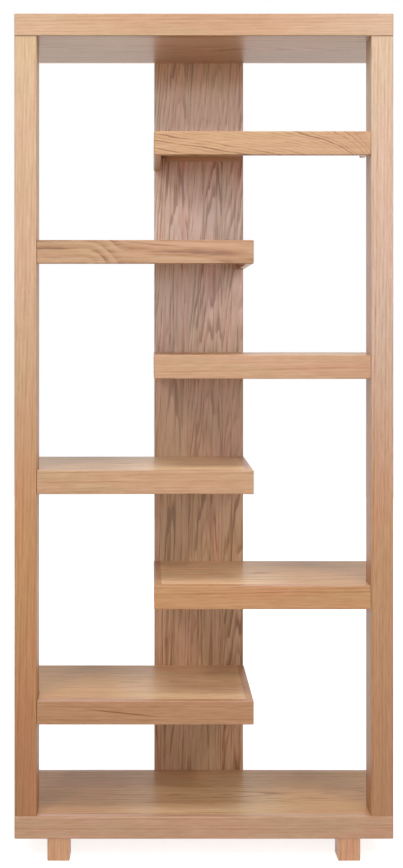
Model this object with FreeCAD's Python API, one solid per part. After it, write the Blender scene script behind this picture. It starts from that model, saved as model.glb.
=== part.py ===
import FreeCAD, Part
import os

from FreeCAD import Vector

# Open oak bookcase in millimetres: X runs left to right, Y from front to back, Z up from the floor.
# The origin is on the floor, under the middle of the whole bookcase.

# Top and base slabs
carcase_width = 850.0
slab_depth = 302.0
slab_thickness = 50.0
slab_board_thickness = 12.0

# Front posts
post_width = 50.0
post_depth = 68.0
post_length = 1750.0
post_setback = 2.0

# Feet under the base
foot_width = 50.0
foot_depth = 50.0
foot_height = 50.0
foot_inset = 74.0
foot_setback = 2.0

# Spine panel behind the shelves
spine_width = 220.0
spine_thickness = 18.0
spine_reveal = 10.0

# Shelves, counted from the floor: odd ones hang on the left post, even ones on the right post
shelf_count = 6
shelf_thickness = 53.0
deck_thickness = 12.0
outer_fascia_thickness = 10.0
shelf_overhang = 2.0
post_gap = 0.8
top_bay_extra = 8.0
next_bay_shortfall = 14.5

# Fascias, their eased edges and the tongues that hold the boards in them
fascia_thickness = 16.0
edge_radius = 2.0
tongue_length = 5.0
tongue_thickness = 4.0
tongue_clearance = 0.2

# Cleats between spine and shelf decks
cleat_height = 18.0
cleat_depth = 18.0
cleat_inset = 32.0
cleat_end_margin = 13.0

# Blocks between posts and shelf decks
block_thickness = 10.0
block_rise = 5.0
block_tail = 36.0
block_chamfer = 10.0

# Battens inside the slabs
batten_width = 18.0

# Countersunk wood screws with a cross recess
screw_diameter = 4.0
screw_head_diameter = 8.0
screw_tip_length = 5.0
recess_length = 4.4
recess_width = 1.0
recess_depth = 1.6
spine_screw_bite = 14.0
deck_screw_bite = 8.0
block_screw_bite = 23.0
slab_screw_margin = 40.0
cleat_screw_margin = 22.0
deck_screw_margin = 52.0
block_screw_margin = 10.0

# Dowels, bolts and threaded inserts of posts and feet
dowel_diameter = 8.0
dowel_depth = 25.0
dowel_margin = 8.0
rod_chamfer = 1.0
bolt_diameter = 8.0
bolt_head_diameter = 13.0
bolt_head_height = 8.0
bolt_head_sink = 1.0
bolt_bite = 24.0
socket_width = 6.0
socket_depth = 4.0
insert_diameter = 12.0
insert_length = 20.0
hanger_depth = 25.0
fastener_clearance = 0.15

# How far cuts run past the faces that they open, and the distance under which two places are one
overrun = 1.0
same_place = 0.001

# Places worked out from the sizes
front = -(slab_depth + spine_thickness) / 2
back = front + slab_depth
half_width = carcase_width / 2
base_bottom = foot_height
base_top = base_bottom + slab_thickness
top_bottom = base_top + post_length
top_top = top_bottom + slab_thickness
core_front = front + fascia_thickness
core_back = back - fascia_thickness
core_end = half_width - fascia_thickness
post_front = front + post_setback
post_back = post_front + post_depth
post_inner = half_width - post_width
notch_side = post_inner - post_gap
notch_back = post_back + post_gap
shelf_free_end = -spine_width / 2 - shelf_overhang
deck_front = post_front + fascia_thickness
deck_free_end = shelf_free_end + fascia_thickness
deck_outer_end = half_width - outer_fascia_thickness
cleat_free_end = shelf_free_end + cleat_inset
cleat_far_end = spine_width / 2 - cleat_end_margin
cleat_bottom = -deck_thickness - cleat_height
block_bottom = -shelf_thickness + block_rise
foot_outer = half_width - foot_inset
foot_inner = foot_outer - foot_width
foot_rows = {"front": front + foot_setback, "back": back - foot_setback - foot_depth}

UP = Vector(0, 0, 1)
FORWARD = Vector(0, -1, 0)
OUTWARD = Vector(1, 0, 0)
ORIGIN = Vector(0, 0, 0)
FULL_TURN = 360
HEXAGON_SIDES = 6


def box(x_range, y_range, z_range):
    """Box between the low and high ends of three ranges."""
    ranges = (x_range, y_range, z_range)
    lengths = [high - low for low, high in ranges]
    return Part.makeBox(*lengths, Vector(*[low for low, high in ranges]))


def prism(outline, z_range):
    """Upright prism on an outline of X and Y places."""
    low, high = z_range
    corners = [Vector(x, y, low) for x, y in outline]
    face = Part.Face(Part.makePolygon(corners + corners[:1]))
    return face.extrude(UP * (high - low))


def turned(half_outline):
    """Solid turned about the Z axis from a half outline of radius and height."""
    corners = [Vector(radius, 0, height) for radius, height in half_outline]
    face = Part.Face(Part.makePolygon(corners + corners[:1]))
    return face.revolve(ORIGIN, UP, FULL_TURN)


def aimed(shape, place, direction):
    """Shape made up along +Z, turned to a direction and put at a place."""
    shape.Placement = FreeCAD.Placement(place, FreeCAD.Rotation(UP, direction))
    return shape


def mirrored(shape):
    """Left-hand copy of a right-hand shape."""
    return shape.mirror(ORIGIN, OUTWARD)


def both_sides(shapes):
    """Right-hand shapes with their left-hand copies."""
    return shapes + [mirrored(shape) for shape in shapes]


def on_plane(edge, axis, place):
    """Whether an edge lies in the plane where the axis has this place."""
    return all(abs(getattr(vertex.Point, axis) - place) < same_place for vertex in edge.Vertexes)


def eased_box(x_range, y_range, z_range):
    """Box with every edge eased."""
    solid = box(x_range, y_range, z_range)
    return solid.makeFillet(edge_radius, solid.Edges)


def tongued_board(x_range, y_range, z_range, with_back_tongue):
    """Board with tongues at its front, its ends and perhaps its back, and the groove that takes them."""
    middle = sum(z_range) / 2
    plates = []
    for slack in (0, tongue_clearance):
        reach = tongue_length + slack
        half = tongue_thickness / 2 + slack
        back_reach = reach if with_back_tongue else 0
        plate_x = (x_range[0] - reach, x_range[1] + reach)
        plate_y = (y_range[0] - reach, y_range[1] + back_reach)
        plates.append(box(plate_x, plate_y, (middle - half, middle + half)))
    tongue, groove = plates
    return box(x_range, y_range, z_range).fuse(tongue).removeSplitter(), groove


def screw(length):
    """Countersunk screw up along +Z from the face of its head."""
    shank = screw_diameter / 2
    head = screw_head_diameter / 2
    shoulder = length - screw_tip_length
    solid = turned([(0, 0), (head, 0), (shank, head - shank), (shank, shoulder), (0, length)])
    for long, wide in ((recess_length, recess_width), (recess_width, recess_length)):
        slot = box((-long / 2, long / 2), (-wide / 2, wide / 2), (-overrun, recess_depth))
        solid = solid.cut(slot)
    return solid


def screw_hole(length):
    """Countersunk hole for such a screw, open past the face of its head."""
    shank = screw_diameter / 2 + fastener_clearance
    head = screw_head_diameter / 2 + fastener_clearance
    depth = length + fastener_clearance
    mouth = [(0, -overrun), (head, -overrun), (head, 0)]
    return turned(mouth + [(shank, head - shank), (shank, depth), (0, depth)])


def rod(diameter, length):
    """Round rod up along +Z with both ends chamfered."""
    radius = diameter / 2
    tip = radius - rod_chamfer
    shoulder = length - rod_chamfer
    return turned([(0, 0), (tip, 0), (radius, rod_chamfer), (radius, shoulder), (tip, length), (0, length)])


def bore(diameter, x, y, z_range):
    """Upright clearance hole for a round piece of this diameter."""
    low, high = z_range
    return Part.makeCylinder(diameter / 2 + fastener_clearance, high - low, Vector(x, y, low))


def slab(prefix, z_range):
    """Hollow slab: two boards held by their tongues in a mitred frame of four fascias."""
    low, high = z_range
    core_x, core_y = (-core_end, core_end), (core_front, core_back)
    upper, upper_groove = tongued_board(core_x, core_y, (high - slab_board_thickness, high), True)
    lower, lower_groove = tongued_board(core_x, core_y, (low, low + slab_board_thickness), True)
    pieces = {prefix + "_upper_board": upper, prefix + "_lower_board": lower}
    past_end, past_front, past_back = half_width + overrun, front - overrun, back + overrun
    outer = [(-past_end, past_front), (past_end, past_front), (past_end, past_back), (-past_end, past_back)]
    inner = [(-core_end, core_front), (core_end, core_front), (core_end, core_back), (-core_end, core_back)]
    outside = eased_box((-half_width, half_width), (front, back), z_range)
    for index, side in enumerate(("front", "right", "back", "left")):
        following = (index + 1) % len(outer)
        outline = [outer[index], outer[following], inner[following], inner[index]]
        fascia = outside.common(prism(outline, (low - overrun, high + overrun)))
        pieces[prefix + "_" + side + "_fascia"] = fascia.cut([upper_groove, lower_groove])
    return pieces


def slab_core(z_range, block_rows):
    """Blocks at the slab's corners, a batten for the spine's screws and a cross batten on each side."""
    low, high = z_range
    inside = (low + slab_board_thickness, high - slab_board_thickness)
    blocks = [box((foot_inner, core_end), y_range, inside) for y_range in block_rows]
    cross_middle = (spine_width / 2 + foot_inner) / 2
    cross_x = (cross_middle - batten_width / 2, cross_middle + batten_width / 2)
    cross = box(cross_x, (core_front, core_back), inside)
    spine_batten = box((-spine_width / 2, spine_width / 2), (core_back - batten_width, core_back), inside)
    return Part.makeCompound(both_sides(blocks + [cross]) + [spine_batten])


def post():
    """Right-hand post with eased long edges and square ends."""
    solid = box((post_inner, half_width), (post_front, post_back), (base_top, top_bottom))
    ends = [edge for edge in solid.Edges if on_plane(edge, "z", base_top) or on_plane(edge, "z", top_bottom)]
    long_edges = [edge for edge in solid.Edges if not any(edge.isSame(end) for end in ends)]
    return solid.makeFillet(edge_radius, long_edges)


def foot(y_low):
    """Right-hand square foot with eased sides and lower edges."""
    solid = box((foot_inner, foot_outer), (y_low, y_low + foot_depth), (0, foot_height))
    edges = [edge for edge in solid.Edges if not on_plane(edge, "z", foot_height)]
    return solid.makeFillet(edge_radius, edges)


def shelf_outside(notch):
    """Whole right-hand shelf with its top at height zero, notched round the post, its outer edges eased."""
    whole = box((shelf_free_end, half_width), (post_front, back), (-shelf_thickness, 0)).cut(notch)
    eased = []
    for edge in whole.Edges:
        in_front = on_plane(edge, "y", post_front)
        at_end = on_plane(edge, "x", shelf_free_end) or on_plane(edge, "x", half_width)
        butted = on_plane(edge, "y", back) or on_plane(edge, "x", notch_side)
        if (in_front or at_end) and not butted:
            eased.append(edge)
    return whole.makeFillet(edge_radius, eased)


def post_block():
    """Block between the right post and a shelf's deck, chamfered at its lower rear edge."""
    tail = post_back + block_tail
    block_x = (post_inner - block_thickness, post_inner)
    block = box(block_x, (deck_front, tail), (block_bottom, -deck_thickness))
    edges = [edge for edge in block.Edges if on_plane(edge, "y", tail) and on_plane(edge, "z", block_bottom)]
    return block.makeChamfer(block_chamfer, edges)


def shelf_boards():
    """Boards of one right-hand shelf with its top at height zero, by name and drilled for its screws."""
    height = (-shelf_thickness - overrun, overrun)
    past_end, past_front, past_back = half_width + overrun, post_front - overrun, back + overrun
    past_post, past_free_end = notch_side + overrun, shelf_free_end - overrun
    notch = box((notch_side, past_end), (past_front, notch_back), height)
    outside = shelf_outside(notch)
    deck_x, deck_y = (deck_free_end, deck_outer_end), (deck_front, back)
    deck, groove = tongued_board(deck_x, deck_y, (-deck_thickness, 0), False)
    corner = (past_free_end, past_front)
    mitre = (deck_free_end, deck_front)
    front_outline = [corner, (past_post, past_front), (past_post, deck_front), mitre]
    end_outline = [corner, mitre, (deck_free_end, past_back), (past_free_end, past_back)]
    outer_end = box((deck_outer_end, past_end), (notch_back - overrun, past_back), height)
    cleat = box((cleat_free_end, cleat_far_end), (back - cleat_depth, back), (cleat_bottom, -deck_thickness))
    holes = shelf_screws(screw_hole)
    return {
        "deck": deck.cut([notch] + holes["deck_screws"]),
        "front_fascia": outside.common(prism(front_outline, height)).cut(groove),
        "free_end_fascia": outside.common(prism(end_outline, height)).cut(groove),
        "outer_end_fascia": outside.common(outer_end).cut(groove),
        "cleat": cleat.cut(holes["spine_screws"] + holes["deck_screws"]),
        "post_block": post_block().cut(holes["block_screws"]),
    }


def shelf_screws(make):
    """Screws or holes of one right-hand shelf: through the spine, up into the deck, out into the post."""
    spine_face = back + spine_thickness
    cleat_middle = cleat_bottom + cleat_height / 2
    block_face = post_inner - block_thickness
    block_middle = (block_bottom - deck_thickness) / 2
    found = {"spine_screws": [], "deck_screws": [], "block_screws": []}
    for x in (cleat_free_end + cleat_screw_margin, cleat_far_end - cleat_screw_margin):
        piece = make(spine_thickness + spine_screw_bite)
        found["spine_screws"].append(aimed(piece, Vector(x, spine_face, cleat_middle), FORWARD))
    for x in (cleat_free_end + deck_screw_margin, cleat_far_end - deck_screw_margin):
        piece = make(cleat_height + deck_screw_bite)
        found["deck_screws"].append(aimed(piece, Vector(x, back - cleat_depth / 2, cleat_bottom), UP))
    for y in (deck_front + block_screw_margin, post_back - block_screw_margin):
        piece = make(block_thickness + block_screw_bite)
        found["block_screws"].append(aimed(piece, Vector(block_face, y, block_middle), OUTWARD))
    return found


def shelf_heights():
    """Heights of the shelf tops: equal clear bays, but the highest one is taller and the next one shorter."""
    bays_height = post_length - shelf_count * shelf_thickness
    clear = (bays_height - top_bay_extra + next_bay_shortfall) / (shelf_count + 1)
    heights = [base_top + (clear + shelf_thickness) * step for step in range(1, shelf_count)]
    return heights + [top_bottom - clear - top_bay_extra]


def hung(shape, number, height):
    """Copy of a right-hand shelf's piece on the post that this shelf hangs on, at its height."""
    sided = mirrored(shape) if number % 2 else shape.copy()
    return sided.translated(UP * height)


def slab_screws(make):
    """Screws or holes from the spine into the back fascias of both slabs."""
    x = spine_width / 2 - slab_screw_margin
    found = []
    for low in (base_bottom, top_bottom):
        piece = make(spine_thickness + spine_screw_bite)
        found.append(aimed(piece, Vector(x, back + spine_thickness, low + slab_thickness / 2), FORWARD))
    return both_sides(found)


def socket_bolt(length):
    """Bolt up along +Z from the face of its head, with a six-sided socket."""
    head = Part.makeCylinder(bolt_head_diameter / 2, bolt_head_height)
    shank = Part.makeCylinder(bolt_diameter / 2, bolt_head_height + length)
    corners = Part.makeCircle(socket_width / 3 ** 0.5).discretize(Number=HEXAGON_SIDES + 1)
    socket = Part.Face(Part.makePolygon(corners)).extrude(UP * socket_depth)
    return head.fuse(shank).removeSplitter().cut(socket)


def insert(x, y, low):
    """Threaded insert, shown as a plain sleeve round its bolt."""
    sleeve = Part.makeCylinder(insert_diameter / 2, insert_length, Vector(x, y, low))
    return sleeve.cut(bore(bolt_diameter, x, y, (low - overrun, low + insert_length + overrun)))


def post_fixings():
    """Right-hand dowels, bolt, insert and holes where a post meets the slabs inside their fascias."""
    x = (post_inner + core_end) / 2
    y = (core_front + post_back) / 2
    dowels, holes = [], []
    for joint in (base_top, top_bottom):
        for dowel_y in (core_front + dowel_margin, post_back - dowel_margin):
            dowel = rod(dowel_diameter, dowel_depth + dowel_depth)
            dowels.append(dowel.translated(Vector(x, dowel_y, joint - dowel_depth)))
            depth = dowel_depth + fastener_clearance
            holes.append(bore(dowel_diameter, x, dowel_y, (joint - depth, joint + depth)))
    head_face = base_bottom + bolt_head_sink
    shoulder = head_face + bolt_head_height
    tip = base_top + bolt_bite
    bolt = socket_bolt(tip - shoulder).translated(Vector(x, y, head_face))
    holes.append(bore(bolt_head_diameter, x, y, (base_bottom - overrun, shoulder)))
    holes.append(bore(bolt_diameter, x, y, (base_bottom, tip + fastener_clearance)))
    insert_hole = bore(insert_diameter, x, y, (base_top, base_top + insert_length + fastener_clearance))
    return dowels, [bolt], [insert(x, y, base_top)], holes, [insert_hole]


def foot_fixings():
    """Right-hand hanger bolts and inserts of the feet, with the holes that each takes."""
    x = (foot_inner + foot_outer) / 2
    bolts, inserts, bolt_holes, insert_holes = [], [], [], []
    for y_low in foot_rows.values():
        y = y_low + foot_depth / 2
        bolts.append(rod(bolt_diameter, hanger_depth + hanger_depth))
        bolts[-1].translate(Vector(x, y, base_bottom - hanger_depth))
        inserts.append(insert(x, y, base_bottom))
        depth = hanger_depth + fastener_clearance
        bolt_holes.append(bore(bolt_diameter, x, y, (base_bottom - depth, base_bottom + depth)))
        insert_range = (base_bottom - overrun, base_bottom + insert_length + fastener_clearance)
        insert_holes.append(bore(insert_diameter, x, y, insert_range))
    return bolts, inserts, bolt_holes, insert_holes


nodes = {}

# Slabs, posts, spine and feet
front_blocks = (core_front, post_back)
back_blocks = (foot_rows["back"], core_back)
base_range = (base_bottom, base_top)
top_range = (top_bottom, top_top)
nodes.update(slab("base", base_range))
nodes.update(slab("top", top_range))
nodes["base_core_blocks"] = slab_core(base_range, [front_blocks, back_blocks])
nodes["top_core_blocks"] = slab_core(top_range, [front_blocks])
nodes["right_post"] = post()
nodes["left_post"] = mirrored(nodes["right_post"])
spine_x = (-spine_width / 2, spine_width / 2)
spine_z = (base_bottom + spine_reveal, top_top - spine_reveal)
nodes["spine_panel"] = eased_box(spine_x, (back, back + spine_thickness), spine_z)
for row, y_low in foot_rows.items():
    nodes["foot_" + row + "_right"] = foot(y_low)
    nodes["foot_" + row + "_left"] = mirrored(nodes["foot_" + row + "_right"])

# Shelves, each with its cleat, block and screws
boards = shelf_boards()
screws = shelf_screws(screw)
holes = shelf_screws(screw_hole)
groups = {"post_blocks": [], "spine_screws": slab_screws(screw), "deck_screws": [], "block_screws": []}
spine_holes = slab_screws(screw_hole)
post_holes = {"left_post": [], "right_post": []}
for number, height in enumerate(shelf_heights(), start=1):
    for piece, solid in boards.items():
        if piece == "post_block":
            groups["post_blocks"].append(hung(solid, number, height))
        else:
            nodes["shelf_%d_%s" % (number, piece)] = hung(solid, number, height)
    for kind, solids in screws.items():
        groups[kind] += [hung(solid, number, height) for solid in solids]
    spine_holes += [hung(hole, number, height) for hole in holes["spine_screws"]]
    post = "left_post" if number % 2 else "right_post"
    post_holes[post] += [hung(hole, number, height) for hole in holes["block_screws"]]

# Fixings of posts and feet, and every hole that the fasteners need
dowels, bolts, inserts, joint_holes, insert_holes = post_fixings()
hangers, foot_inserts, hanger_holes, foot_insert_holes = foot_fixings()
groups["post_dowels"] = both_sides(dowels)
groups["post_bolts"] = both_sides(bolts)
groups["foot_bolts"] = both_sides(hangers)
groups["threaded_inserts"] = both_sides(inserts + foot_inserts)
slab_holes = both_sides(joint_holes + hanger_holes + foot_insert_holes)
drilling = {"spine_panel": spine_holes}
for slab_name in ("base", "top"):
    drilling[slab_name + "_back_fascia"] = spine_holes
    for piece in ("_upper_board", "_lower_board", "_core_blocks"):
        drilling[slab_name + piece] = slab_holes
for post in post_holes:
    drilling[post] = post_holes[post] + both_sides(joint_holes + insert_holes)
for row in foot_rows:
    for side in ("left", "right"):
        drilling["foot_" + row + "_" + side] = both_sides(hanger_holes)
for name, tools in drilling.items():
    nodes[name] = nodes[name].cut(tools)
for name, solids in groups.items():
    nodes[name] = Part.makeCompound(solids)

os.makedirs("parts", exist_ok=True)
for name, shape in sorted(nodes.items()):
    shape.exportStep("parts/" + name + ".step")
    print(name, len(shape.Solids), "solids,", round(shape.Volume), "cubic mm")
print(len(nodes), "nodes")
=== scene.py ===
# %% [markdown]
# # A staircase bookshelf in lacquered oak
# The bookcase is a tall open frame: two thick slabs, two posts at the front and one spine panel at the
# back. Six shelves step up it, the first from the left post, the next from the right one, and so on.
# Every board is already a solid of its real size, so this lesson is about looks: a camera, soft light,
# a pale floor, and oak whose grain is grown from the rings of a tree.

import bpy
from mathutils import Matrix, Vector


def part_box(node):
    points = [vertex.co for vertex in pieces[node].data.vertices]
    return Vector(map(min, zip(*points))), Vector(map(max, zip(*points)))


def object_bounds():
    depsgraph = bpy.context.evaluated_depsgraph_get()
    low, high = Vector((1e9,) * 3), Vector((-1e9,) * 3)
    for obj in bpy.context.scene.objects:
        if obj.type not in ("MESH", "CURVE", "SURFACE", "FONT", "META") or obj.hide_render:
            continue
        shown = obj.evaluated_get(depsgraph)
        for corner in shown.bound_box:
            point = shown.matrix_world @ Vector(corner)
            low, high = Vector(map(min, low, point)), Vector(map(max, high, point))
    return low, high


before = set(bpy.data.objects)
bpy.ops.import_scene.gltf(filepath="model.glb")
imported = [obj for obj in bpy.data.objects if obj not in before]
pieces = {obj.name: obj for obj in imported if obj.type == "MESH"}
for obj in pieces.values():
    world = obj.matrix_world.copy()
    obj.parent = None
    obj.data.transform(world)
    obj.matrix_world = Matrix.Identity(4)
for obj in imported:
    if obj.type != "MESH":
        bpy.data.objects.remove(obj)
cad_low, cad_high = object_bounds()
print(len(pieces), "pieces in a box of", [round(length, 3) for length in cad_high - cad_low], "metres")

# %% What the lesson is written with
import zlib

import bpy
import numpy as np
from mathutils import Vector

scene = bpy.context.scene
scene.view_settings.view_transform = "Standard"
print("colours are shown with the", scene.view_settings.view_transform, "view transform")

# %% [markdown]
# ## The camera
# The picture was taken from chest height and a little to the left of the middle. The camera was level,
# because the posts stand upright in it. Lines that run to the back all point at one place of the
# picture, which is straight ahead of the lens but not in the middle of the frame. A tilted camera could
# bring the same things into view, but it would make the posts lean together. A level camera with a
# shifted image keeps them parallel.

# %% Make the camera
PICTURE_WIDTH = 403
PICTURE_HEIGHT = 868
VANISHING_COLUMN = 150.0
VANISHING_ROW = 324.6
MIDDLE_COLUMN = 203.9
FLOOR_ROW = 861.4
METRES_PER_PIXEL = 0.0022405
CAMERA_DISTANCE = 2.85

camera = bpy.data.objects.new("picture_camera", bpy.data.cameras.new("picture_camera"))
sensor = camera.data.sensor_width
camera.data.lens = sensor * CAMERA_DISTANCE / (METRES_PER_PIXEL * PICTURE_HEIGHT)
camera.data.shift_x = (PICTURE_WIDTH / 2 - VANISHING_COLUMN) / PICTURE_HEIGHT
camera.data.shift_y = (VANISHING_ROW - PICTURE_HEIGHT / 2) / PICTURE_HEIGHT
camera_side = (VANISHING_COLUMN - MIDDLE_COLUMN) * METRES_PER_PIXEL
camera_height = (FLOOR_ROW - VANISHING_ROW) * METRES_PER_PIXEL
camera.location = (camera_side, cad_low.y - CAMERA_DISTANCE, camera_height)
camera.rotation_euler = (np.pi / 2, 0, 0)
scene.collection.objects.link(camera)
scene.camera = camera
print("lens", round(camera.data.lens, 2), "mm at", [round(place, 3) for place in camera.location])

# %% [markdown]
# ## Sums on sockets
# A finish is a sum over the surface: a ring here, a pore there. Written out as single nodes and links,
# such a sum fills pages. This small class holds one output socket and lets Python do arithmetic on it,
# where each operator adds one Math node. Every other kind of node comes from its `node` method, which
# sets the node's settings first and then its input sockets, with plain values or with other wires.
# Colours go through Mix nodes, because a Math node would turn them grey.

# %% One wire
# A Mix node has sockets for numbers, for vectors and for colours. These are the ones for colours.
MIX_SHARE = 0
MIX_FIRST = 6
MIX_SECOND = 7
MIX_RESULT = 2


class Wire:
    """One output socket of a shader tree, ready for sums."""

    def __init__(self, tree, socket=None):
        self.tree = tree
        self.socket = socket

    def node(self, kind, settings=None, inputs=None, output=0):
        """New node: its settings first, a ramp's stops among them, then its sockets' values or links."""
        made = self.tree.nodes.new(kind)
        for name, value in (settings or {}).items():
            if name == "stops":
                self.set_stops(made.color_ramp.elements, value)
            else:
                setattr(made, name, value)
        for socket, value in (inputs or {}).items():
            if isinstance(value, Wire):
                self.tree.links.new(value.socket, made.inputs[socket])
            else:
                made.inputs[socket].default_value = value
        return Wire(self.tree, made.outputs[output] if len(made.outputs) else None)

    @staticmethod
    def set_stops(elements, stops):
        """Stops of a colour ramp, each a place from 0 to 1 and a colour."""
        while len(elements) < len(stops):
            elements.new(1.0)
        for element, (place, colour) in zip(elements, stops):
            element.position = place
            element.color = (*colour, 1.0)

    def other(self, output):
        """Another output of the same node."""
        return Wire(self.tree, self.socket.node.outputs[output])

    def math(self, operation, *values):
        """Math node on plain values and wires."""
        return self.node("ShaderNodeMath", {"operation": operation}, dict(enumerate(values)))

    def __add__(self, value):
        return self.math("ADD", self, value)

    def __sub__(self, value):
        return self.math("SUBTRACT", self, value)

    def __rsub__(self, value):
        return self.math("SUBTRACT", value, self)

    def __mul__(self, value):
        return self.math("MULTIPLY", self, value)

    def __truediv__(self, value):
        return self.math("DIVIDE", self, value)

    def __pow__(self, value):
        return self.math("POWER", self, value)

    def __abs__(self):
        return self.math("ABSOLUTE", self)

    __radd__ = __add__
    __rmul__ = __mul__

    def rise(self, start, end):
        """0 up to start, 1 from end on, and a smooth step between them."""
        sockets = {"Value": self, "From Min": start, "From Max": end}
        return self.node("ShaderNodeMapRange", {"interpolation_type": "SMOOTHSTEP"}, sockets)

    def mix(self, colour, share, mode="MIX"):
        """This colour mixed with another one by a share."""
        settings = {"data_type": "RGBA", "blend_type": mode}
        sockets = {MIX_SHARE: share, MIX_FIRST: self, MIX_SECOND: colour}
        return self.node("ShaderNodeMix", settings, sockets, MIX_RESULT)

    def between(self, first, second):
        """Colour between two others, where this wire is the second one's share."""
        sockets = {MIX_SHARE: self, MIX_FIRST: first, MIX_SECOND: second}
        return self.node("ShaderNodeMix", {"data_type": "RGBA"}, sockets, MIX_RESULT)


print("wires add, subtract, multiply, divide, rise and mix")

# %% [markdown]
# ## Studio light
# The light on the wood is soft. A broad panel stands behind the camera, and the lacquer mirrors it, so
# the upper half of the bookcase has a pale sheen. A wide lamp hangs overhead and a little in front, so
# the front of each shelf is brighter than its back, which lies in the shade of the shelf above. One
# strong lamp would be simpler, but its shade has a hard edge.
#
# Lacquered wood answers a lamp twice: the wood scatters its light, and the lacquer mirrors it. Blender
# lets a lamp do only one of the two. Three gleams show in the lacquer alone: a level one on the upright
# boards, and two warm ones, to the left and to the right, on the posts and the ends of the top. Two
# small warm lamps, high up and far to the sides, light the wood alone. They let each shelf's shade on
# the spine slant in from its free end. A panel behind the bookcase lights the wood of its back.

# %% Hang the lamps
AIM = Vector((0.0, 0.0, 1.1))
PLAIN = (1.0, 1.0, 1.0)
WARM = (1.0, 0.95, 0.89)
SIDE_GLEAM = {"size": (0.35, 0.35), "watts": 13.0, "tint": WARM, "lights": False}
SIDE_LAMP = {"size": (0.22, 0.22), "watts": 24.0, "tint": WARM, "gleams": False}
LAMPS = {
    "broad_panel": {"place": (0.1, -3.1, 1.75), "size": (2.4, 1.9), "watts": 21.0},
    "level_gleam": {"place": (0.1, -3.1, 1.5), "size": (1.6, 0.5), "watts": 8.0, "lights": False},
    "left_gleam": {"place": (-0.77, -3.0, 2.4), **SIDE_GLEAM},
    "right_gleam": {"place": (1.04, -3.0, 2.4), **SIDE_GLEAM},
    "left_lamp": {"place": (-1.88, -3.0, 3.4), **SIDE_LAMP},
    "right_lamp": {"place": (1.88, -3.0, 3.4), **SIDE_LAMP},
    "overhead_lamp": {"place": (0.0, -1.1, 3.45), "size": (1.6, 0.9), "watts": 42.0},
    "back_panel": {"place": (0.0, 3.2, 1.3), "size": (2.4, 1.6), "watts": 16.0, "gleams": False},
}


def hang_lamp(name, place, size, watts, tint=PLAIN, lights=True, gleams=True):
    """Area lamp turned to the bookcase's middle, to light the wood, to gleam in the lacquer, or both."""
    light = bpy.data.lights.new(name, "AREA")
    light.shape = "RECTANGLE"
    light.size, light.size_y = size
    light.energy = watts
    light.color = tint
    lamp = bpy.data.objects.new(name, light)
    lamp.location = place
    lamp.rotation_euler = (AIM - lamp.location).to_track_quat("-Z", "Y").to_euler()
    lamp.visible_camera = False
    lamp.visible_diffuse = lights
    lamp.visible_glossy = gleams
    scene.collection.objects.link(lamp)
    return lamp


for name, lamp in LAMPS.items():
    print("hung", hang_lamp(name, **lamp).name)

# %% [markdown]
# The white surroundings do two jobs. The eye, and the lacquer that mirrors them, see plain white. As a
# lamp they are only a weak fill, because full white from all round would wash out the shade between the
# shelves. The Light Path node tells the two apart: it knows whether a ray comes from the camera, from a
# shiny surface or from a matt one.

# %% White surroundings
WHITE = (1.0, 1.0, 1.0, 1.0)
FILL = 0.24


def seen_directly(start):
    """1 for rays from the camera, from shiny or from clear surfaces, and 0 for the rest."""
    path = start.node("ShaderNodeLightPath", output="Is Camera Ray")
    shiny = path.math("MAXIMUM", path, path.other("Is Glossy Ray"))
    return path.math("MAXIMUM", shiny, path.other("Is Transmission Ray"))


scene.world = bpy.data.worlds.new("white_surroundings")
scene.world.use_nodes = True
scene.world.node_tree.nodes.clear()
start = Wire(scene.world.node_tree)
strength = FILL + (1.0 - FILL) * seen_directly(start)
backdrop = start.node("ShaderNodeBackground", inputs={"Color": WHITE, "Strength": strength})
start.node("ShaderNodeOutputWorld", inputs={"Surface": backdrop})
print("surroundings light the wood at", FILL, "of what the eye sees")

# %% [markdown]
# ## The floor
# The floor is a plain pale disc just under the feet. It could be a single square face, but a disc
# worked out from a radius and an angle has no corner in any view. The numpy grid holds every vertex at
# once.

# %% Lay the floor
FLOOR_RADIUS = 6.0
FLOOR_DROP = 0.0005
FLOOR_RINGS = 24
FLOOR_SPOKES = 96


def polar_surface(name, radii, spokes, height):
    """Disc as a grid: x is radius times cosine, y is radius times sine, at one height."""
    angles = np.linspace(0.0, 2.0 * np.pi, spokes, endpoint=False)
    reach, turn = np.meshgrid(radii, angles, indexing="ij")
    level = np.full_like(reach, height)
    places = np.stack([reach * np.cos(turn), reach * np.sin(turn), level], axis=-1)
    ring, spoke = np.meshgrid(np.arange(len(radii) - 1), np.arange(spokes), indexing="ij")
    inner, outer, beside = ring * spokes, (ring + 1) * spokes, (spoke + 1) % spokes
    corners = [inner + spoke, outer + spoke, outer + beside, inner + beside]
    faces = np.stack(corners, axis=-1).reshape(-1, 4)
    mesh = bpy.data.meshes.new(name)
    mesh.from_pydata(places.reshape(-1, 3).tolist(), [], faces.tolist())
    surface = bpy.data.objects.new(name, mesh)
    scene.collection.objects.link(surface)
    return surface


floor_radii = np.linspace(0.0, FLOOR_RADIUS, FLOOR_RINGS)
floor = polar_surface("floor", floor_radii, FLOOR_SPOKES, -FLOOR_DROP)
print("floor of", len(floor.data.polygons), "faces")

# %% [markdown]
# A plain white finish would do, but the lamps leave it short of white. Its own glow makes up the rest
# for the eye, and grows further out, so that no edge shows there. The lacquer mirrors the part in
# front, where a bright floor would wash out the lower boards, so for mirrored rays that part glows only
# weakly.

# %% Floor finish
FLOOR_COLOUR = (0.80, 0.79, 0.77, 1.0)
WEAK_GLOW = 0.12
STRONG_GLOW = 0.82
GLOW_FRONT = -0.45
GLOW_BACK = 0.05
GLOW_START = 1.6
GLOW_END = 3.2


def new_finish(name):
    """Material with an empty tree, and the wire that its nodes start from."""
    finish = bpy.data.materials.new(name)
    finish.use_nodes = True
    finish.node_tree.nodes.clear()
    return finish, Wire(finish.node_tree)


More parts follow.
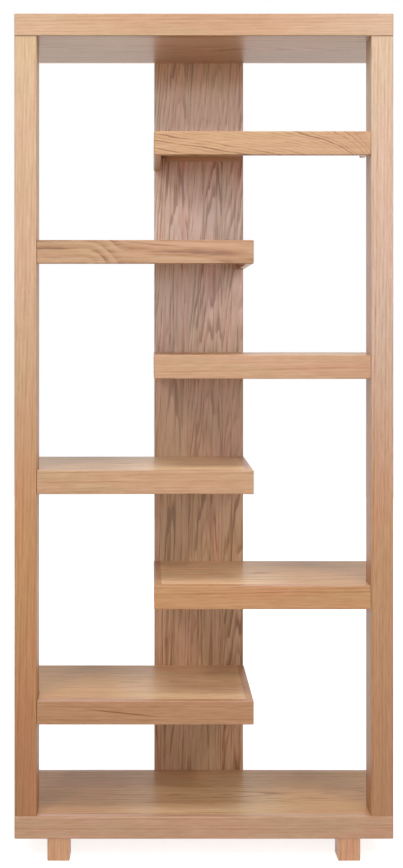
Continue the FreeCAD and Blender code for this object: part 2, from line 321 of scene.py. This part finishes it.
def coat(start, **sockets):
    """Principled surface with these sockets, as the whole look of a finish."""
    named = {socket.replace("_", " "): value for socket, value in sockets.items()}
    surface = start.node("ShaderNodeBsdfPrincipled", inputs=named)
    start.node("ShaderNodeOutputMaterial", inputs={"Surface": surface})


def floor_finish():
    """Matt off-white that glows: full white further out, and weaker in front for mirrored rays."""
    finish, start = new_finish("pale_floor")
    place = start.node("ShaderNodeTexCoord", output="Object")
    reach = place.node("ShaderNodeVectorMath", {"operation": "LENGTH"}, {0: place}, output="Value")
    depth = place.node("ShaderNodeSeparateXYZ", inputs={0: place}, output="Y")
    mirrored = start.node("ShaderNodeLightPath", output="Is Glossy Ray")
    dimmed = mirrored * (1.0 - depth.rise(GLOW_FRONT, GLOW_BACK))
    near = STRONG_GLOW - (STRONG_GLOW - WEAK_GLOW) * dimmed
    glow = seen_directly(start) * (near + (1.0 - near) * reach.rise(GLOW_START, GLOW_END))
    light = glow.node("ShaderNodeCombineColor", inputs={0: glow, 1: glow, 2: glow})
    coat(start, Base_Color=FLOOR_COLOUR, Roughness=1.0, Specular_IOR_Level=0.0,
         Emission_Color=light, Emission_Strength=1.0)
    return finish


floor.data.materials.append(floor_finish())
print("floor glows at", STRONG_GLOW, "near the feet")

# %% [markdown]
# ## Where a point lies in its board
# Grain belongs to a board, so each finish first needs a place in that board: how far along the grain,
# how far across the showing face, and how deep in the wood, in millimetres from the board's middle.
# Three letters per board say which axis is which. A front fascia has its grain along X, its face rises
# along Z, and Y goes into it. Noise that is stretched along the grain gives everything long and thin,
# and a seed from the board's name makes it differ from board to board.

# %% Places in a board
MILLIMETRES = 1000.0
HALF = 0.5
PLAIN_NOISE = 1.0
ROUGH_NOISE = 2.0
SEED_SHARES = (1.0, 0.37, 0.71)
SEED_STEPS = 10000
SEED_LIMIT = 100.0


class Wood:
    """Wires for along the grain, across the face and into the board, in millimetres from its middle."""

    def __init__(self, start, node, grain):
        low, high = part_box(node)
        middle = (low + high) / 2 * MILLIMETRES
        sockets = {"Location": -middle, "Scale": (MILLIMETRES,) * 3}
        sockets["Vector"] = start.node("ShaderNodeTexCoord", output="Object")
        centred = start.node("ShaderNodeMapping", inputs=sockets)
        split = start.node("ShaderNodeSeparateXYZ", inputs={0: centred})
        self.half = [(high - low)["XYZ".index(axis)] * MILLIMETRES / 2 for axis in grain]
        self.along, self.across, self.depth = [split.other(axis) for axis in grain]
        self.from_middle = self.along

    def blotches(self, lengths, seed, detail=PLAIN_NOISE):
        """Noise about zero whose blotches have these lengths along, across and into the board."""
        sides = {0: self.along, 1: self.across, 2: self.depth}
        place = self.along.node("ShaderNodeCombineXYZ", inputs=sides)
        shares = [1.0 / length for length in lengths]
        shift = [seed * share for share in SEED_SHARES]
        sockets = {"Vector": place, "Scale": shares, "Location": shift}
        spread = place.node("ShaderNodeMapping", inputs=sockets)
        sockets = {"Vector": spread, "Scale": 1.0, "Detail": detail}
        return spread.node("ShaderNodeTexNoise", inputs=sockets) - HALF


def stable_seed(name):
    """Number from 0 to 100 that a name always gives."""
    return zlib.crc32(name.encode()) % SEED_STEPS / (SEED_STEPS / SEED_LIMIT)


print("seed of the left post:", stable_seed("left_post"))

# %% [markdown]
# ## Growth rings
# A tree lays one ring on the other round its heart, and a board is a cut through those rings. A picture
# of wood could be laid on each board, but then its faces wouldn't fit together at the edges. Here the
# rings are worked out in the round: the distance from the heart, made wavy, is counted in ring widths.
# A board near the heart gets the pointed arches of flat-sawn oak, a board far to the side gets straight
# lines. The heart leans or sweeps away along the board, so that the arches close.

# %% Rings of a tree
SPRING_START = 0.1
SPRING_FADE = (0.14, 0.8)


def growth_rings(wood, tree, seed):
    """Share of its ring that each point has passed, and how strong that ring is, from 0 to 1.

    The radius is the root of the squares of two distances from the heart, across and into the board,
    where the heart leans with a slope along the board and may also bend away. Waves are added, then the
    sum is counted in ring widths.
    """
    side = wood.across - tree["heart"][0] - wood.along * tree["lean"][0]
    inward = wood.depth - tree["heart"][1] - wood.along * tree["lean"][1]
    if "bend" in tree:
        side, inward = tree["bend"](wood, side, inward)
    radius = (side * side + inward * inward) ** 0.5
    waves = wood.blotches(tree["wave_size"], seed, ROUGH_NOISE) * tree["wave"]
    count = (radius + waves) / tree["ring"] + seed
    number = count.math("FLOOR", count)
    strength = number.node("ShaderNodeTexWhiteNoise", {"noise_dimensions": "1D"}, {"W": number})
    return count - number, strength


def spring_wood(passed):
    """Oak's ring: dark open spring wood from a sharp start, fading into dense pale summer wood."""
    return passed.rise(0.0, SPRING_START) * (1.0 - passed.rise(*SPRING_FADE))


print("spring wood fades out at", SPRING_FADE[1], "of a ring")

# %% [markdown]
# ## Oak
# Oak under clear satin lacquer is honey coloured, with darker spring wood, long thin pores that show as
# dashes, faint streaks of fibre, and clouds of pinker and greener wood. One noise could stand for them
# all, but each has its own length and width in real wood, so each gets its own noise. Tone changes from
# board to board. Along the posts, the spine and the lower decks it also changes from end to end, and
# there it is painted shade, painted light and painted sheen.

# %% Colours and blotches of oak
SUMMER_WOOD = (0.73, 0.455, 0.26)
HONEY = (0.60, 0.335, 0.165)
SPRING_WOOD = (0.475, 0.22, 0.082)
DARK_STREAK = (0.30, 0.125, 0.046)
OAK_STOPS = [(0.0, SUMMER_WOOD), (0.35, HONEY), (0.72, SPRING_WOOD), (1.0, DARK_STREAK)]
PORE_BROWN = (0.22, 0.10, 0.045, 1.0)
PINK_CLOUD = (1.04, 0.965, 1.0, 1.0)
GREEN_CLOUD = (0.97, 1.015, 0.965, 1.0)
# Lengths along, across and into the board, a step from the board's seed, and the noise's detail
OAK_BLOTCHES = {
    "breaks": ((70.0, 9.0, 14.0), 5.0, PLAIN_NOISE),
    "fibres": ((45.0, 2.6, 2.6), 11.0, ROUGH_NOISE),
    "streaks": ((300.0, 6.0, 10.0), 23.0, ROUGH_NOISE),
    "clouds": ((260.0, 45.0, 45.0), 31.0, ROUGH_NOISE),
    "pores": ((9.0, 0.55, 0.55), 47.0, PLAIN_NOISE),
}


def oak_blotches(wood, kind, seed):
    """Noise of one kind in a board, with a seed of its own."""
    lengths, step, detail = OAK_BLOTCHES[kind]
    return wood.blotches(lengths, seed + step, detail)


def tone_and_painted_light_along(wood, tones):
    """Tone of a board: one colour, or several that change over one after the other along it, which on
    the posts, the spine and the lower decks are painted light, shade and sheen.
    """
    tone = (*tones[0], 1.0)
    stretch = 2.0 * wood.half[0] / max(len(tones) - 1, 1)
    for index, following in enumerate(tones[1:]):
        begin = index * stretch - wood.half[0]
        tone = wood.from_middle.rise(begin, begin + stretch).between(tone, (*following, 1.0))
    return tone


print("oak runs from", SUMMER_WOOD, "to", DARK_STREAK)

# %% [markdown]
# Each of these is one term of a sum that says how dark the wood is. The sum goes through a colour ramp,
# because wood changes hue as it darkens. A plain mix of two browns would look dyed. Clouds and tone
# then tint it. Pores also dent the lacquer, so they feed a Bump node and a rougher shine.

# %% Oak finish
BREAK_RANGE = (-0.16, 0.12)
BROKEN_LINE = 0.35
WEAK_RING = 0.15
PORE_RANGE = (0.1, 0.24)
SUMMER_PORES = 0.2
MEAN_DARK = 0.26
STREAK_DARK = 0.22
FIGURED_STREAK_DARK = 0.3
FIBRE_DARK = 0.65
PORE_DARK = 0.5
CLOUD_CONTRAST = 2.4
SPRING_DENT = 0.12
BUMP_STRENGTH = 0.3
BUMP_HEIGHT = 0.0004
SATIN = 0.34
PORE_DULL = 0.2
CLOUD_DULL = 0.1
LACQUER = 0.6


def oak_coat(start, wood, seed, tree, figure, tones, marks=0.0,
             cloud=1.0, lacquer=LACQUER, satin=SATIN):
    """Lacquered oak on prepared wood: rings, pores, fibres, clouds, the board's tones, some of them
    painted light, and marks.
    """
    passed, strength = growth_rings(wood, tree, seed)
    spring = spring_wood(passed)
    breaks = oak_blotches(wood, "breaks", seed).rise(*BREAK_RANGE)
    boldness = WEAK_RING + (1.0 - WEAK_RING) * strength * strength
    lines = spring * boldness * (BROKEN_LINE + (1.0 - BROKEN_LINE) * breaks)
    fibres = oak_blotches(wood, "fibres", seed)
    streaks = oak_blotches(wood, "streaks", seed) * (STREAK_DARK + FIGURED_STREAK_DARK * figure)
    clouds = oak_blotches(wood, "clouds", seed)
    dashes = oak_blotches(wood, "pores", seed).rise(*PORE_RANGE)
    pores = dashes * (SUMMER_PORES + (1.0 - SUMMER_PORES) * spring)
    dark = MEAN_DARK + lines * figure + streaks + fibres * FIBRE_DARK + marks
    ramp = dark.node("ShaderNodeValToRGB", {"stops": OAK_STOPS}, {0: dark})
    hue = (clouds * (CLOUD_CONTRAST * cloud) + HALF).between(PINK_CLOUD, GREEN_CLOUD)
    tinted = ramp.mix(hue, 1.0, "MULTIPLY").mix(tone_and_painted_light_along(wood, tones), 1.0, "MULTIPLY")
    colour = tinted.mix(PORE_BROWN, pores * PORE_DARK)
    height = 1.0 - pores - spring * SPRING_DENT
    dents = {"Height": height, "Strength": BUMP_STRENGTH, "Distance": BUMP_HEIGHT}
    bump = start.node("ShaderNodeBump", inputs=dents)
    rough = satin + pores * PORE_DULL + clouds * CLOUD_DULL
    coat(start, Base_Color=colour, Roughness=rough, Normal=bump, Specular_IOR_Level=lacquer)


def dress(node, finish):
    """Puts a finish on every slot of a piece."""
    for slot in pieces[node].material_slots:
        slot.material = finish


def oak_board(node, grain, tree, figure, tones, marked=None, **finer):
    """Dresses one board in oak of its own: its grain, tree, strength of figure, tones and marks."""
    finish, start = new_finish(node + "_oak")
    wood = Wood(start, node, grain)
    marks = marked(wood) if marked else 0.0
    oak_coat(start, wood, stable_seed(node), tree, figure, tones, marks, **finer)
    dress(node, finish)


print("oak is ready, with a roughness of about", SATIN)

# %% [markdown]
# ## Tones of the boards, and painted light
# The boards of a bookcase come from several trees, and light and air change each one further. One
# colour for all would look moulded. A tone is a factor on the oak's red, green and blue, found by
# comparing the finished board with its picture, so some tones hold painted light as well. The posts are
# darker and warmer at the foot and paler and greyer higher up, a painted shade and a painted sheen. The
# lower decks are paler at the spine than at the post, a painted light where the shelf above casts its
# shade. The top's lower board is greyer than oak, a painted sheen.

# %% Tones
EVEN = [(1.0, 1.0, 1.0)]


def stretches(*tones):
    """Each tone given twice, for both ends of a stretch that keeps it."""
    return [tone for tone in tones for end in ("first", "last")]


TONES_AND_PAINTED_LIGHT = {
    "top_front_fascia": [(0.695, 0.69, 0.685), (0.675, 0.655, 0.62), (0.71, 0.75, 0.82)],
    "base_front_fascia": [(0.945, 0.96, 1.16)],
    # The posts' tones are painted light: darker and warmer at the foot as painted shade, paler and
    # greyer higher up as painted sheen.
    "left_post": [(0.725, 0.57, 0.46), (0.88, 0.75, 0.61), (0.91, 0.975, 1.13), (0.835, 0.94, 1.07)],
    "right_post": [(0.78, 0.70, 0.66), (0.86, 0.79, 0.79), (0.96, 1.07, 1.57), (0.845, 1.04, 1.33)],
    "foot_front_left": [(1.1, 1.04, 1.13)],
    "foot_front_right": [(1.1, 1.04, 1.13)],
    "shelf_1_front_fascia": [(0.835, 0.77, 0.79)],
    "shelf_2_front_fascia": [(0.955, 0.865, 0.79)],
    "shelf_3_front_fascia": [(0.945, 0.99, 1.1)],
    "shelf_4_front_fascia": [(0.88, 0.87, 0.94)],
    "shelf_5_front_fascia": [(0.75, 0.725, 0.72)],
    "shelf_6_front_fascia": [(0.785, 0.77, 0.715)],
    "shelf_1_free_end_fascia": [(0.95, 0.80, 0.68)],
    "shelf_2_free_end_fascia": [(0.95, 0.80, 0.68)],
    "shelf_6_free_end_fascia": [(0.75, 0.77, 0.6)],
    # The lower decks' and the base deck's tones are paler and bluer at the spine: painted light and
    # sheen where the shelf above shades them.
    "shelf_1_deck": stretches((0.98, 0.94, 0.67), (1.34, 1.65, 2.0)),
    "shelf_2_deck": stretches((1.38, 1.7, 2.0), (0.965, 0.915, 0.75)),
    "shelf_3_deck": stretches((0.82, 0.86, 0.81), (1.38, 1.72, 2.1)),
    "base_upper_board": stretches((0.92, 0.87, 0.72), (1.14, 1.38, 1.58), (0.96, 0.93, 0.755)),
    # The top's lower board is greyer and bluer than oak: a painted sheen.
    "top_lower_board": [(0.925, 1.06, 1.34)],
}
print(len(TONES_AND_PAINTED_LIGHT), "boards have a tone of their own")

# %% [markdown]
# ## Straight-grained boards
# Posts, feet, the fascias of both slabs and most shelf fronts are cut far from the heart, so their
# lines run straight and close, with little contrast. Straight lines could be drawn on each face, but
# they wouldn't meet at the edges. One tree serves them all, and each board leans a little differently
# in it, by its own seed. The posts' lacquer is duller than the rest, and on the shelf fronts it is
# thinner, so it mirrors less.

# %% Straight boards
STRAIGHT = {"heart": (230.0, 110.0), "ring": 6.6, "wave": 9.0, "wave_size": (480.0, 26.0, 60.0)}
STRAIGHT_LEAN = 0.02
LEAN_RANGE = 0.03
PLAIN_FIGURE = 0.42
POST_SATIN = 0.43
FRONT_LACQUER = 0.47
SHELVES = range(1, 7)
STRAIGHT_FRONTS = (2, 3, 4)


def straight_tree(node):
    """Tree whose heart lies far beside the board and leans by the board's seed."""
    lean = LEAN_RANGE * (stable_seed(node) / SEED_LIMIT - HALF)
    return {"lean": (lean, STRAIGHT_LEAN), **STRAIGHT}


def straight_board(node, grain, marked=None, **finer):
    """Dresses one board in straight-grained oak of its own tone, which on the posts is painted shade and
    sheen.
    """
    tones = TONES_AND_PAINTED_LIGHT.get(node, EVEN)
    oak_board(node, grain, straight_tree(node), PLAIN_FIGURE, tones, marked, **finer)


for slab in ("base", "top"):
    for side, grain in (("front", "XZY"), ("back", "XZY"), ("left", "YZX"), ("right", "YZX")):
        straight_board(slab + "_" + side + "_fascia", grain)
for number in STRAIGHT_FRONTS:
    straight_board("shelf_%d_front_fascia" % number, "XZY", lacquer=FRONT_LACQUER)
for number in SHELVES:
    straight_board("shelf_%d_free_end_fascia" % number, "YZX")
    straight_board("shelf_%d_outer_end_fascia" % number, "YZX")
for side in ("left", "right"):
    straight_board(side + "_post", "ZXY", satin=POST_SATIN)
    for row in ("front", "back"):
        straight_board("foot_" + row + "_" + side, "ZXY")
print("straight boards dressed")

# %% [markdown]
# ## Shelf fronts with a figure
# Three shelf fronts show more of the tree. The fifth from below has wide arches at its left and a dark
# band along its right half, the sixth has slanting lines that turn down steeply near the post, and the
# lowest has one long dark streak. A streak like that follows no ring of the tree, so it is added to the
# sum as a mark, a line between two places of the face.

# %% Marks on a board
STREAK_TAPER = 0.35
FIFTH_SHELF_BAND = [
    {"first": (-60.0, 24.0), "last": (110.0, 9.0), "width": 4.0, "strength": 0.55},
    {"first": (-15.0, -5.0), "last": (120.0, -9.0), "width": 3.5, "strength": 0.4},
    {"first": (50.0, 5.0), "last": (260.0, -4.0), "width": 12.0, "strength": 0.42},
]
LOWEST_SHELF_STREAK = {"first": (-145.0, 9.0), "last": (45.0, -9.5), "width": 2.2, "strength": 0.85}


def streak(wood, first, last, width, strength):
    """Dark line between two places of the face, in millimetres along and across, weak at both ends."""
    run = (wood.along - first[0]) / (last[0] - first[0])
    middle = first[1] + run * (last[1] - first[1])
    taper = run.rise(0.0, STREAK_TAPER) * (1.0 - run.rise(1.0 - STREAK_TAPER, 1.0))
    return (1.0 - abs(wood.across - middle).rise(0.0, width)) * taper * strength


def fifth_shelf_marks(wood):
    """Dark band that starts as two lines and fades out at the free end."""
    return sum(streak(wood, **line) for line in FIFTH_SHELF_BAND)


def lowest_shelf_marks(wood):
    """One long thin streak across the middle of the front."""
    return streak(wood, **LOWEST_SHELF_STREAK)


straight_board("shelf_1_front_fascia", "XZY", lowest_shelf_marks, lacquer=FRONT_LACQUER)
print("lowest shelf's front dressed")

# %% [markdown]
# The arches and the steep lines could be marks too, but then each line would need its own two places.
# They come out truer from a tree whose heart bends away along the board, because all its rings bend
# with it.

# %% Fronts with arches
ARCH_DROP = 75.0
ARCH_END = (-170.0, -40.0)
DROOP = 0.65
DROOP_LENGTH = 52.0


def arch(wood, side, inward):
    """Heart that runs level under the left end, then drops off into the wood by a smooth step."""
    return side, inward + ARCH_DROP * wood.along.rise(*ARCH_END)


def droop(wood, side, inward):
    """Heart that falls ever more steeply towards the right end, by an exponential."""
    return side + DROOP * wood.along.math("EXPONENT", wood.along / DROOP_LENGTH), inward


ARCHED = {"heart": (-45.0, -8.0), "lean": (0.0, -0.05), "bend": arch, "ring": 18.0, "wave": 8.0,
          "wave_size": (130.0, 22.0, 60.0)}
SWEPT = {"heart": (-150.0, -8.0), "lean": (-0.16, 0.0), "bend": droop, "ring": 6.4, "wave": 9.0,
         "wave_size": (85.0, 13.0, 60.0)}
FIGURED = {
    "shelf_5_front_fascia": {"tree": ARCHED, "figure": 1.05, "marked": fifth_shelf_marks},
    "shelf_6_front_fascia": {"tree": SWEPT, "figure": 1.15},
}
for node, figured in FIGURED.items():
    oak_board(node, "XZY", tones=TONES_AND_PAINTED_LIGHT[node], lacquer=FRONT_LACQUER, **figured)
print(len(FIGURED), "figured fronts dressed")

# %% [markdown]
# ## Decks and slab boards
# The level boards are flat-sawn: long pointed arches run along them, with short dark dashes of spring
# wood. A fine dark line shows where a deck meets the fascias round it. A real gap could be left there,
# but at this size the eye can't tell it from a drawn line. The line is drawn at the deck's shoulder,
# one tongue length inside the solid's box.

# %% Level boards
TONGUE = 5.0
SEAM_WIDTH = 1.6
SEAM_STRENGTH = 0.7
FLAT_SAWN = {"lean": (0.02, 0.06), "ring": 7.0, "wave": 12.0, "wave_size": (230.0, 34.0, 60.0)}
HEART_RANGE = 40.0
HEART_DEPTH = 26.0
LEVEL_FIGURE = 1.05
LEVEL_LACQUER = 0.25
TOP_LACQUER = 0.5


def seam(wood):
    """Dark line along the front and both ends of a board's face, where its tongues begin."""
    ends = abs(abs(wood.along) - (wood.half[0] - TONGUE))
    front = abs(wood.across + (wood.half[1] - TONGUE))
    return (1.0 - front.math("MINIMUM", ends, front).rise(0.0, SEAM_WIDTH)) * SEAM_STRENGTH


def flat_sawn_tree(node):
    """Tree whose heart runs just under the board, so that its rings close in long arches."""
    aside = stable_seed(node) % HEART_RANGE - HEART_RANGE / 2
    return {"heart": (aside, HEART_DEPTH), **FLAT_SAWN}


def level_board(node, lacquer):
    """Dresses one deck or slab board in flat-sawn oak with a seam at its fascias."""
    tones = TONES_AND_PAINTED_LIGHT.get(node, EVEN)
    oak_board(node, "XYZ", flat_sawn_tree(node), LEVEL_FIGURE, tones, seam, lacquer=lacquer)


for face in ("upper", "lower"):
    level_board("base_" + face + "_board", LEVEL_LACQUER)
    level_board("top_" + face + "_board", TOP_LACQUER)
for number in SHELVES:
    level_board("shelf_%d_deck" % number, LEVEL_LACQUER)
print("level boards dressed")

# %% [markdown]
# ## The spine
# The spine panel is glued up from three upright staves, each cut from another length of the tree. Its
# figure is the boldest on the bookcase: dashes and pointed lenses of dark spring wood. A panel in one
# piece would be simpler, but would lack the two glue lines. The stave's number is worked out from the
# place across the panel, and moves the place in the tree. The spine's tones run from its foot to its
# top, and they are painted light: paler and bluer than oak in most of its height, a painted sheen that
# is strongest at three quarters of its height, and darker at its top, a painted shade under the top
# slab.

# %% Spine staves
STAVE_WIDTH = 84.0
STAVE_STEP = 731.0
SPINE_SLANT = 0.02
SPINE_TREE = {"heart": (6.0, 14.0), "lean": (0.01, 0.05), "ring": 5.0, "wave": 16.0,
              "wave_size": (260.0, 20.0, 60.0)}
# Painted light on the spine, from foot to top: a pale bluish painted sheen, strongest in the fourth
# tone, and a darker painted shade under the top slab in the last.
SPINE_TONES_AND_PAINTED_LIGHT = [
    (1.03, 1.155, 1.46),
    (1.08, 1.27, 1.54),
    (0.93, 1.0, 1.17),
    (1.27, 1.57, 2.58),
    (0.89, 0.89, 0.82),
]
SPINE_FINER = {"figure": 1.2, "cloud": 1.8, "lacquer": 0.7}
DASH_LENGTHS = (200.0, 5.0, 14.0)
DASH_SEED = 17.0
DASH_RANGE = (0.05, 0.17)
DASH_DARK = 0.45
GLUE_DARK = 0.3


def spine_finish():
    """Oak of three staves: each has its own stretch of the tree, with a dark glue line between them."""
    finish, start = new_finish("spine_oak")
    wood = Wood(start, "spine_panel", "ZXY")
    turns = (wood.across + wood.half[1]) / STAVE_WIDTH
    number = turns.math("FLOOR", turns)
    aside = turns - number - HALF
    edge = abs(aside).rise(HALF - SEAM_WIDTH / STAVE_WIDTH, HALF)
    wood.across = aside * STAVE_WIDTH - wood.along * SPINE_SLANT
    wood.along = wood.along + number * STAVE_STEP
    dashes = wood.blotches(DASH_LENGTHS, DASH_SEED).rise(*DASH_RANGE)
    marks = edge * GLUE_DARK + dashes * DASH_DARK
    seed = stable_seed("spine_panel")
    oak_coat(start, wood, seed, SPINE_TREE, tones=SPINE_TONES_AND_PAINTED_LIGHT, marks=marks, **SPINE_FINER)
    return finish


dress("spine_panel", spine_finish())
print("spine dressed")

# %% [markdown]
# ## Timber that hides
# Cleats and post blocks are oak offcuts, straight-grained like the posts. They hide under the shelves,
# and could be left plain, but the highest shelf shows its own.

# %% Cleats and post blocks
CLEAT_TONE = (0.92, 0.93, 0.97)
OFFCUTS = {"shelf_%d_cleat" % number: "XZY" for number in SHELVES}
OFFCUTS["post_blocks"] = "YZX"
for node, grain in OFFCUTS.items():
    oak_board(node, grain, straight_tree(node), PLAIN_FIGURE, [CLEAT_TONE])
print(len(OFFCUTS), "pieces of offcuts dressed")

# %% [markdown]
# The blocks inside the slabs are plain pine, unfinished. They show only when the bookcase is taken
# apart. Oak's finish would fit them badly, because pine's rings darken slowly and end in a sharp line,
# the other way round.

# %% Pine core blocks
PINE_STOPS = [(0.0, (0.80, 0.60, 0.36)), (0.6, (0.72, 0.49, 0.26)), (1.0, (0.52, 0.29, 0.12))]
PINE_TREE = {"heart": (40.0, 60.0), "lean": (0.02, 0.03), "ring": 5.0, "wave": 6.0,
             "wave_size": (200.0, 30.0, 30.0)}
PINE_SEED = 3.0
PINE_RING = (0.3, 0.95)
WEAK_PINE_RING = 0.4
PINE_FIBRES = {"lengths": (80.0, 2.0, 2.0), "seed": 5.0}
PINE_FIBRE_DARK = 0.3
PINE_PATCHES = {"lengths": (30.0, 4.0, 4.0), "seed": 9.0}
PINE_ROUGH = 0.7
PINE_PATCH_DULL = 0.2


def pine_finish():
    """Planed pine: wide soft rings that end in a dark line, and a matt face."""
    finish, start = new_finish("core_pine")
    wood = Wood(start, "base_core_blocks", "YXZ")
    passed, strength = growth_rings(wood, PINE_TREE, PINE_SEED)
    rings = passed.rise(*PINE_RING) * (WEAK_PINE_RING + (1.0 - WEAK_PINE_RING) * strength)
    dark = rings + wood.blotches(**PINE_FIBRES) * PINE_FIBRE_DARK
    ramp = dark.node("ShaderNodeValToRGB", {"stops": PINE_STOPS}, {0: dark})
    rough = PINE_ROUGH + wood.blotches(**PINE_PATCHES) * PINE_PATCH_DULL
    coat(start, Base_Color=ramp, Roughness=rough)
    return finish


core_pine = pine_finish()
for slab in ("base", "top"):
    dress(slab + "_core_blocks", core_pine)
print("core blocks dressed")

# %% [markdown]
# The dowels are turned beech. Beech has no rings to speak of at this size, so short flecks on an even
# colour are enough.

# %% Beech dowels
BEECH = (0.66, 0.42, 0.26, 1.0)
BEECH_FLECK = (0.46, 0.25, 0.13, 1.0)
FLECKS = {"lengths": (4.0, 0.5, 0.5), "seed": 2.0}
FLECK_RANGE = (0.08, 0.22)
FLECK_SHARE = 0.5
BEECH_ROUGH = 0.6
FLECK_DULL = 0.15


def beech_finish():
    """Turned beech: pale pink-brown with fine short flecks."""
    finish, start = new_finish("dowel_beech")
    wood = Wood(start, "post_dowels", "ZXY")
    flecks = wood.blotches(**FLECKS).rise(*FLECK_RANGE)
    base = (flecks * FLECK_SHARE).between(BEECH, BEECH_FLECK)
    coat(start, Base_Color=base, Roughness=BEECH_ROUGH + flecks * FLECK_DULL)
    return finish


dress("post_dowels", beech_finish())
print("dowels dressed")

# %% [markdown]
# ## Fasteners
# Screws, bolts and inserts are zinc-plated steel. Plating could be one even grey, but real plating has
# faint cloudy patches, bluish and yellowish, and is duller where it was handled.

# %% Zinc plating
BLUE_ZINC = (0.60, 0.62, 0.65, 1.0)
YELLOW_ZINC = (0.66, 0.64, 0.57, 1.0)
ZINC_CLOUDS = {"Scale": 260.0, "Detail": 3.0}
ZINC_ROUGH = 0.26
ZINC_CLOUD_DULL = 0.2
FASTENERS = ["spine_screws", "deck_screws", "block_screws",
             "post_bolts", "foot_bolts", "threaded_inserts"]


def zinc_finish():
    """Metal whose colour and dullness drift in clouds of a few millimetres."""
    finish, start = new_finish("zinc_plate")
    place = start.node("ShaderNodeTexCoord", output="Object")
    clouds = start.node("ShaderNodeTexNoise", inputs={"Vector": place, **ZINC_CLOUDS})
    tint = clouds.between(BLUE_ZINC, YELLOW_ZINC)
    coat(start, Base_Color=tint, Metallic=1.0, Roughness=ZINC_ROUGH + clouds * ZINC_CLOUD_DULL)
    return finish


zinc_plate = zinc_finish()
for node in FASTENERS:
    dress(node, zinc_plate)
print(len(FASTENERS), "groups of fasteners dressed")
